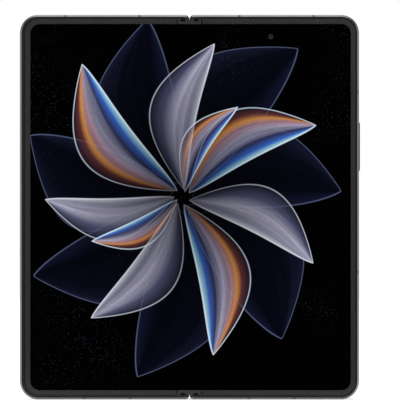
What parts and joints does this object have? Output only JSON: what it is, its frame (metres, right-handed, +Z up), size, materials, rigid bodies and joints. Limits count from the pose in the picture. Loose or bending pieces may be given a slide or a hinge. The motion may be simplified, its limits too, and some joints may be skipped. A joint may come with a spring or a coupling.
{
  "type": "foldable smartphone",
  "caption": "Book-style foldable phone shown open, with an inner folding display, geared hinge, cover display, side keys and round rear camera island.",
  "frame": {"origin": "on the fold line at mid thickness, on the bottom edge", "axes": "+X towards the half with the side keys, -Y out of the inner display, +Z up the height of the phone"},
  "size_m": [0.1411, 0.0086, 0.1594],
  "materials": {
    "frame_aluminium": "satin, bead blasted and anodised",
    "antenna_plastic": "matte",
    "back_glass": "frosted",
    "island_metal": "satin",
    "lens_glass": "polished",
    "camera_module": "matte",
    "flash_plastic": "clear",
    "display_film": "glossy film",
    "bezel_rubber": "satin",
    "guard_rubber": "matte",
    "circuit_board": "satin",
    "shield_tin": "satin",
    "battery_film": "matte",
    "copper": "bare",
    "port_steel": "satin",
    "contact_plastic": "matte",
    "black_plastic": "matte",
    "magnet_nickel": "plated",
    "hinge_steel": "machined",
    "spring_steel": "hardened",
    "spine_metal": "satin",
    "flex_film": "satin",
    "cover_glass": "polished"
  },
  "bodies": {
    "main_half": {"main_frame": "frame_aluminium", "main_antenna_bands": "antenna_plastic", "back_glass": "back_glass", "camera_island": "island_metal", "camera_lenses": "lens_glass", "camera_modules": "camera_module", "flash_lens": "flash_plastic", "inner_display_right": "display_film", "inner_bezel_right": "bezel_rubber", "inner_camera": "camera_module", "main_board": "circuit_board", "board_shields": "shield_tin", "main_battery": "battery_film", "charging_coil": "copper", "usb_shell": "port_steel", "usb_tongue": "contact_plastic", "loudspeaker": "black_plastic", "sub_board": "circuit_board", "vibration_motor": "shield_tin", "key_switches": "flex_film", "main_magnets": "magnet_nickel", "main_screws": "hinge_steel", "hinge_arms_right": "hinge_steel", "pinion_shafts_right": "hinge_steel", "wing_plate_right": "hinge_steel"},
    "volume_button": {"volume_key": "frame_aluminium"},
    "power_button": {"power_key": "frame_aluminium"},
    "spine": {"spine_cover": "spine_metal", "spine_end_caps": "black_plastic", "hinge_blocks": "hinge_steel", "idler_pins": "hinge_steel", "disc_springs": "spring_steel", "fold_support_plate": "hinge_steel", "inner_display_fold": "display_film", "fold_guard_top": "guard_rubber", "fold_guard_bottom": "guard_rubber", "hinge_flex": "flex_film"},
    "idler_right": {"idler_gear_right": "hinge_steel"},
    "idler_left": {"idler_gear_left": "hinge_steel"},
    "cover_half": {"cover_frame": "frame_aluminium", "cover_antenna_bands": "antenna_plastic", "cover_glass": "cover_glass", "cover_display": "display_film", "cover_camera": "camera_module", "earpiece": "black_plastic", "second_battery": "battery_film", "cover_board": "circuit_board", "cover_shields": "shield_tin", "cover_magnets": "magnet_nickel", "cover_screws": "hinge_steel", "inner_display_left": "display_film", "inner_bezel_left": "bezel_rubber", "hinge_arms_left": "hinge_steel", "pinion_shafts_left": "hinge_steel", "wing_plate_left": "hinge_steel", "sim_socket": "port_steel"},
    "tray": {"sim_tray": "frame_aluminium"}
  },
  "joints": [
    {"name": "spine_turn", "type": "hinge", "parent": "main_half", "child": "spine", "pos_m": [0.003, -0.00065, 0.0797], "axis": [0, 0, 1], "range_deg": [0, 90]},
    {"name": "fold", "type": "hinge", "parent": "spine", "child": "cover_half", "pos_m": [-0.003, -0.00065, 0.0797], "axis": [0, 0, 1], "range_deg": [0, 90], "deforming": ["inner_display_fold", "fold_guard_top", "fold_guard_bottom", "hinge_flex"]},
    {"name": "idler_right_turn", "type": "hinge", "parent": "spine", "child": "idler_right", "pos_m": [0.001, -0.00065, 0.0797], "axis": [0, 0, 1], "range_deg": [0, 90]},
    {"name": "idler_left_turn", "type": "hinge", "parent": "spine", "child": "idler_left", "pos_m": [-0.001, -0.00065, 0.0797], "axis": [0, 0, 1], "range_deg": [-90, 0]},
    {"name": "volume_press", "type": "slide", "parent": "main_half", "child": "volume_button", "axis": [-1, 0, 0], "range_m": [0, 0.00025], "stiffness_N_per_m": 800},
    {"name": "power_press", "type": "slide", "parent": "main_half", "child": "power_button", "axis": [-1, 0, 0], "range_m": [0, 0.00025], "stiffness_N_per_m": 800},
    {"name": "tray_slide", "type": "slide", "parent": "cover_half", "child": "tray", "axis": [-1, 0, 0], "range_m": [0, 0.018]}
  ],
  "couplings": [
    {"joint": "fold", "follows": "spine_turn", "ratio": 1},
    {"joint": "idler_right_turn", "follows": "spine_turn", "ratio": 1},
    {"joint": "idler_left_turn", "follows": "spine_turn", "ratio": -1}
  ]
}
